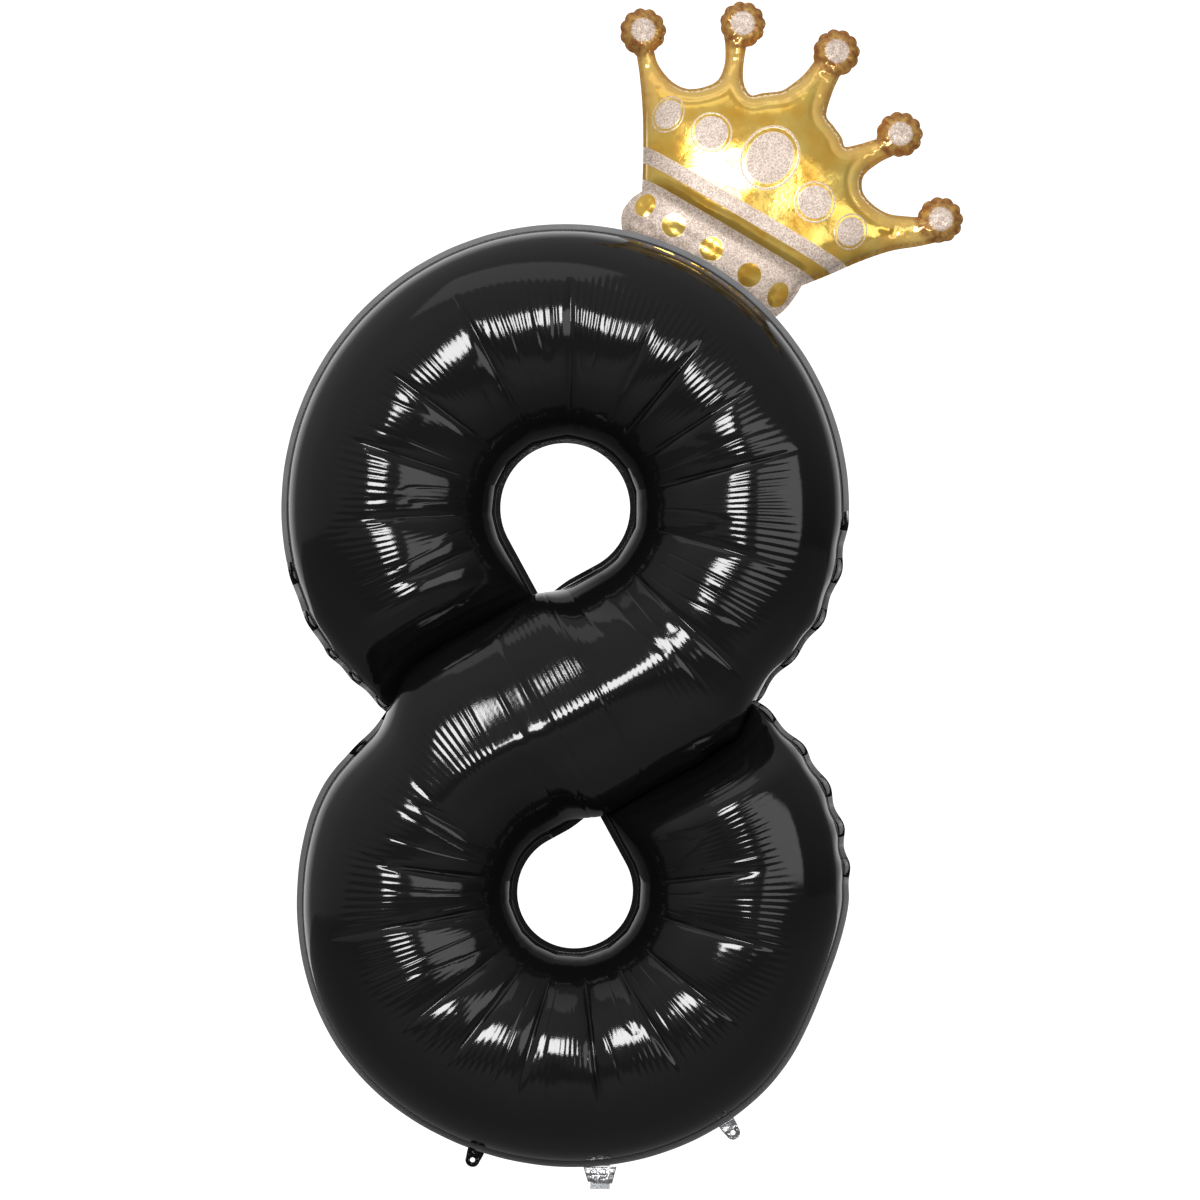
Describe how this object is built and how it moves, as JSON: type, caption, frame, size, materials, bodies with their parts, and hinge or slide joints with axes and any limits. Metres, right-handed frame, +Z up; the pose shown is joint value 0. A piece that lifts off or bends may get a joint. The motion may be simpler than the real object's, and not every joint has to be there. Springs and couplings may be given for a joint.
{
  "type": "foil number balloon",
  "caption": "Inflated foil figure eight with two through holes, hanging tabs and a filling neck on its lower rim, and a small crown balloon stuck behind its shoulder.",
  "frame": {"origin": "on the lower rim of the figure, in the mid plane of its seam, where the filling neck leaves and a ribbon is tied", "axes": "+Z up the figure, +X to the right of a viewer who faces it, -Y towards that viewer"},
  "size_m": [0.6203, 0.1722, 1.0854],
  "materials": {
    "black_foil": "mirror-bright black metallised film",
    "gold_foil": "mirror-bright gold metallised film, printed with glitter",
    "silver_film": "unprinted silver side of the film",
    "clear_film": "clear polyethylene film",
    "adhesive": "clear tacky gel"
  },
  "bodies": {
    "balloon": {"front_foil": "black_foil", "back_foil": "black_foil", "valve_front_film": "clear_film", "valve_back_film": "clear_film", "crown_tail": "gold_foil", "glue_dots": "adhesive"},
    "left_tab": {"left_hang_tab": "black_foil"},
    "right_tab": {"right_hang_tab": "silver_film"},
    "neck": {"neck_front_ply": "silver_film", "neck_back_ply": "silver_film", "valve_sleeve": "clear_film"},
    "crown": {"crown_front_foil": "gold_foil", "crown_back_foil": "gold_foil", "crown_valve_front_film": "clear_film", "crown_valve_back_film": "clear_film"}
  },
  "joints": [
    {"name": "left_tab_fold", "type": "hinge", "parent": "balloon", "child": "left_tab", "pos_m": [-0.11231, 0, 0.01578], "axis": [-0.9336, 0, 0.3584], "range_deg": [-80, 80]},
    {"name": "right_tab_fold", "type": "hinge", "parent": "balloon", "child": "right_tab", "pos_m": [0.11525, 0, 0.03969], "axis": [-0.8387, 0, -0.5446], "range_deg": [-80, 80]},
    {"name": "neck_fold", "type": "hinge", "parent": "balloon", "child": "neck", "pos_m": [0, 0, 0], "axis": [1, 0, 0], "range_deg": [-80, 80]},
    {"name": "crown_nod", "type": "hinge", "parent": "balloon", "child": "crown", "pos_m": [0.08972, 0.053, 0.81498], "axis": [0.8616, 0, -0.5075], "range_deg": [-35, 20], "stiffness_Nm_per_rad": 0.05}
  ]
}
